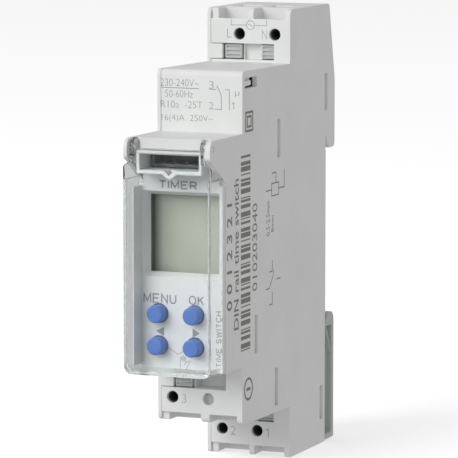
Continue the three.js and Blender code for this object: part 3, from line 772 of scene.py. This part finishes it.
def supply_print():
    """Terminal letters and the supply symbol above the top levers."""
    mesh = bmesh.new()
    face = BLOCK_FACE
    lettering(mesh, "L", ((-4.55, -3.6), (39.74, 41.49)), face, FRONT, -0.012)
    lettering(mesh, "N", ((2.8, 3.86), (39.6, 41.35)), face, FRONT, -0.012)
    centre, radius, line = (0.39, 42.23), 0.85, 0.14
    ribbon(mesh, circle(centre, radius), line, face, FRONT, True)
    wave = [(centre[0] - 0.5 + i / 12, centre[1] + 0.22 * math.sin(i / 12 * 2 * math.pi)) for i in range(13)]
    ribbon(mesh, wave, line * 0.9, face, FRONT)
    for side, end in ((-1, -3.65), (1, 3.76)):
        lead = [(centre[0] + side * radius, centre[1]), (end, centre[1]), (end, 43.4)]
        ribbon(mesh, lead, line, face, FRONT)
    printed("print_supply", mesh, "pale_ink")


def rating_print():
    """Supply and load ratings and the change-over switch symbol on the upper shoulder."""
    mesh = bmesh.new()
    face = SHOULDER_FACE
    thin = -0.018
    rows = (
        ("230-240V~", (-8.03, -0.16), (32.1, 33.48)),
        ("50-60Hz", (-7.09, -1.39), (30.0, 31.35)),
        ("R10a  -25T", (-7.96, 0.54), (27.98, 29.33)),
        ("16(4)A  250V~", (-7.81, 2.72), (25.2, 26.75)),
        ("3", (1.95, 2.85), (31.84, 33.25)),
        ("2", (1.94, 2.85), (27.95, 29.3)),
        ("µ", (7.2, 8.05), (30.4, 31.5)),
    )
    for words, across, rise in rows:
        lettering(mesh, words, (across, rise), face, FRONT, thin)
    line = 0.13
    ribbon(mesh, [(-7.9, 31.8), (-0.16, 31.75)], line, face, FRONT)
    ribbon(mesh, [(1.95, 31.73), (3.43, 31.73)], line, face, FRONT)
    ribbon(mesh, [(3.5, 32.45), (4.36, 30.75), (4.44, 27.97), (3.11, 28.0)], line, face, FRONT)
    ribbon(mesh, [(5.22, 31.75), (6.03, 31.73), (6.05, 27.92)], line, face, FRONT)
    ribbon(mesh, [(6.6, 29.05), (6.95, 29.35), (6.95, 28.1)], line, face, FRONT)
    printed("print_ratings", mesh, "front_ink")


# Capital letters as strokes in a square of side 1, and the widths of those that are not as wide as high.
LETTER_STROKES = {
    "C": [[(1, 0.82), (0.75, 1), (0.25, 1), (0, 0.75), (0, 0.25), (0.25, 0), (0.75, 0), (1, 0.18)]],
    "E": [[(1, 1), (0, 1), (0, 0), (1, 0)], [(0, 0.52), (0.85, 0.52)]],
    "H": [[(0, 0), (0, 1)], [(0, 0.5), (1, 0.5)], [(1, 0), (1, 1)]],
    "I": [[(0, 1), (0, 0)]],
    "K": [[(0, 1), (0, 0)], [(1, 1), (0, 0.42)], [(0.35, 0.62), (1, 0)]],
    "M": [[(0, 0), (0, 1), (0.5, 0.15), (1, 1), (1, 0)]],
    "N": [[(0, 0), (0, 1), (1, 0), (1, 1)]],
    "O": [arc((0.5, 0.5), 0.5, 0, 360, 20)],
    "R": [
        [(0, 0), (0, 1), (0.7, 1), (0.95, 0.87), (0.95, 0.6), (0.7, 0.47), (0, 0.47)],
        [(0.5, 0.47), (1, 0)],
    ],
    "S": [[
        (1, 0.85), (0.75, 1), (0.2, 1), (0, 0.78), (0.15, 0.56),
        (0.85, 0.44), (1, 0.22), (0.8, 0), (0, 0.12),
    ]],
    "T": [[(0, 1), (1, 1)], [(0.5, 1), (0.5, 0)]],
    "U": [[(0, 1), (0, 0.25), (0.25, 0), (0.75, 0), (1, 0.25), (1, 1)]],
    "W": [[(0, 1), (0.25, 0), (0.5, 0.85), (0.75, 0), (1, 1)]],
    " ": [],
}
LETTER_WIDTHS = {"I": 0, "M": 1.15, "O": 1.25, "W": 1.4, " ": 0.3}
LETTER_GAP = 0.5


def stroke_word(mesh, word, box, width, face, upright=False):
    """Adds a word in letters of one stroke width that fill a box ((x0, x1), (z0, z1)) on a front face."""
    (x0, x1), (z0, z1) = box
    length, height = (z1 - z0, x1 - x0) if upright else (x1 - x0, z1 - z0)
    widths = [LETTER_WIDTHS.get(letter, 1) for letter in word]
    unit = (length - width) / (sum(widths) + LETTER_GAP * (len(word) - 1))
    start = width / 2
    for letter, wide in zip(word, widths):
        for stroke in LETTER_STROKES[letter]:
            points = [(start + a * wide * unit, width / 2 + b * (height - width)) for a, b in stroke]
            flat = [(x1 - b, z0 + a) if upright else (x0 + a, z0 + b) for a, b in points]
            ribbon(mesh, flat, width, face, FRONT)
        start += (wide + LETTER_GAP) * unit


def key_print():
    """Names and arrows of the keys, the reset pictogram and generic names on the bezel."""
    mesh = bmesh.new()
    face = BEZEL_FACE
    stroke_word(mesh, "TIMER", ((-4.2, 3.6), (13.68, 15.3)), 0.32, face)
    stroke_word(mesh, "MENU", ((-7.41, -0.66), (-8, -6.15)), 0.27, face)
    stroke_word(mesh, "OK", ((1.85, 4.98), (-8, -6.2)), 0.27, face)
    stroke_word(mesh, "TIME SWITCH", ((6.8, 7.95), (-19.6, -8.9)), 0.2, face, True)
    for tip, base in ((-4.82, -3.18), (4.06, 2.64)):
        patch(mesh, [(tip, -13.3), (base, -14.2), (base, -12.4)], face, FRONT)
    line = 0.1
    ribbon(mesh, [(-2.3, -16.25), (-0.35, -17.5), (0.7, -16.9)], line, face, FRONT)
    for route in hand_lines():
        ribbon(mesh, route, line, face, FRONT)
    printed("print_bezel", mesh, "bezel_ink")


def hand_lines():
    """A hand whose fingers reach up to the two lower keys."""
    wrist, palm, tip = -21.0, -19.3, -17.9
    outer = [
        (0.1, wrist), (0.05, -20.2), (0.15, palm), (0.1, -18.4), (0.25, tip), (0.45, -18.3), (0.5, -18.8),
    ]
    fingers = [
        [(0.5, -18.8), (0.62, -17.75), (0.82, -17.7), (0.88, -18.8)],
        [(0.88, -18.8), (1.02, -17.95), (1.2, -17.95), (1.2, -18.9)],
    ]
    thumb = [
        (0.95, -19.4), (1.35, -18.9), (2.0, -18.6), (2.2, -18.8), (1.75, -19.3), (1.45, -20.0), (1.35, wrist),
    ]
    return [outer, *fingers, thumb]


def terminal_print():
    """Numbers beside the probe holes of the lower terminals."""
    mesh = bmesh.new()
    lettering(mesh, "3", ((-3.82, -2.86), (-28.55, -26.8)), SHOULDER_FACE, FRONT, -0.018)
    lettering(mesh, "2", ((-3.77, -2.7), (-38.85, -37.1)), BLOCK_FACE, FRONT, -0.018)
    ribbon(mesh, [(3.7, -37.55), (4.25, -37.15), (4.25, -38.85)], 0.17, BLOCK_FACE, FRONT)
    printed("print_terminals", mesh, "pale_ink")


def bar_pattern(count):
    """Bar and gap widths of a decorative bar strip, from a fixed counting rule."""
    return [((i * 7) % 4 + 1, (i * 5) % 3 + 1) for i in range(count)]


def side_print():
    """Generic marks on the right side: a class II symbol, words, a bar strip and wiring symbols."""
    mesh = bmesh.new()
    face = SIDE_FACE
    for half in (1.75, 0.95):
        y, z = -40.7, 25.6
        corners = [(y - half, z - half), (y + half, z - half), (y + half, z + half), (y - half, z + half)]
        ribbon(mesh, corners, 0.42, face, SIDE, True)
    lettering(mesh, "0 0 1 2 3 2 1", ((-51.7, -49.15), (-9.25, 10.95)), face, SIDE_UPRIGHT, 0.015)
    lettering(mesh, "DIN rail time switch", ((-48.2, -45.9), (-13.3, 15.3)), face, SIDE_UPRIGHT, 0.01)
    lettering(mesh, "010203040", ((-39.0, -36.6), (-7.1, 9.7)), face, SIDE_UPRIGHT, -0.004)
    low, high = -17.8, 19.85
    widths = bar_pattern(36)
    unit = (high - low) / sum(bar + gap for bar, gap in widths)
    z = low
    for bar, gap in widths:
        patch(mesh, [(-44.8, z), (-40.1, z), (-40.1, z + bar * unit), (-44.8, z + bar * unit)], face, SIDE)
        z += (bar + gap) * unit
    wiring_symbols(mesh, face)
    printed("print_side", mesh, "side_ink")


def wiring_symbols(mesh, face):
    """A stripped wire, a switch contact and a small ring, as plain line drawings."""
    line = 0.22
    ribbon(mesh, [(-32.2, 11.4), (-29.2, 11.4)], line, face, SIDE)
    ribbon(mesh, [(-29.2, 10.2), (-25.6, 10.2), (-25.6, 12.6), (-29.2, 12.6)], line, face, SIDE, True)
    ribbon(mesh, [(-25.6, 11.4), (-22.6, 11.4), (-22.6, 14.8)], line, face, SIDE)
    ribbon(mesh, [(-29.2, 14.6), (-27, 14.6), (-27, 12.6)], line, face, SIDE)
    lettering(mesh, "0.5-2.5mm", ((-31.9, -30.2), (2.7, 9.4)), face, SIDE_UPRIGHT, -0.004)
    lettering(mesh, "8mm", ((-29.4, -28.1), (3.2, 6.4)), face, SIDE_UPRIGHT, -0.004)
    ribbon(mesh, [(-32, -7.6), (-30.4, -7.6), (-28.6, -5.6), (-28.0, -4.2)], line, face, SIDE)
    ribbon(mesh, [(-30.4, -4.4), (-28.8, -4.4), (-28.8, -2.2)], line, face, SIDE)
    ribbon(mesh, [(-30.4, -10.8), (-28.8, -10.8), (-28.8, -8.4)], line, face, SIDE)
    ribbon(mesh, [(-26.6, -6.2), (-24.6, -6.2)], line, face, SIDE)
    ribbon(mesh, circle((-41.0, -25.5), 2.0), 0.45, face, SIDE, True)
    ribbon(mesh, [(-42.0, -25.5), (-40.0, -25.5)], 0.6, face, SIDE)


# ---------------------------------------------------------------- inner pieces

INNER_ROUNDS = {
    "lcd_connector_upper": 0.1, "lcd_connector_lower": 0.1, "display_board": 0.08, "microcontroller": 0.12,
    "crystal": 0.25, "memory_socket": 0.1, "main_board": 0.08, "board_link": 0.12, "noise_capacitor": 0.3,
    "smoothing_capacitor": 0.4, "varistor": 0.7, "fuse_resistor": 0.3, "bridge_rectifier": 0.2,
    "cell_holder": 0.12, "backup_cell": 0.3, "relay_base": 0.15, "relay_case": 0.2, "relay_bobbin": 0.1,
    "relay_winding": 0.1, "relay_core": 0.15, "relay_yoke": 0.15, "relay_armature": 0.12,
    "relay_moving_contact": 0.05, "relay_contact_open": 0.08, "relay_contact_closed": 0.08,
    "clip_spring": 0.02,
}
SPECIAL_SURFACES = {"relay_winding": "winding", "memory_socket": "socket_plastic"}


def inner_pieces():
    """Softened copies of everything inside, in the record's own finishes."""
    slots = {row["node"]: row["material_slot"] for row in frame["record"]["subparts"]}
    rounds = dict(INNER_ROUNDS)
    rounds.update({f"key_switch_{name}": 0.12 for name in KEYS})
    for name in TERMINALS:
        rounds[f"busbar_{name}"] = 0.1
        rounds[f"clamp_spring_{name}"] = 0.08
    for node, width in rounds.items():
        surface = surfaces[SPECIAL_SURFACES.get(node, slots[node])]
        refined(node, surface, width)


# ---------------------------------------------------------------- assembly

camera()
world_light(0.45, 0.6, 0.45)
lamp("key_light", (-0.55, -1.2, 0.75), 0.9, 11.4)
stage()
shells()
shade_in_probe_holes()
blank_hole_shade_disc()
keys()
display()
bezel_rim()
inner_pieces()
supply_print()
rating_print()
key_print()
terminal_print()
side_print()
bpy.context.scene.view_settings.view_transform = "Standard"
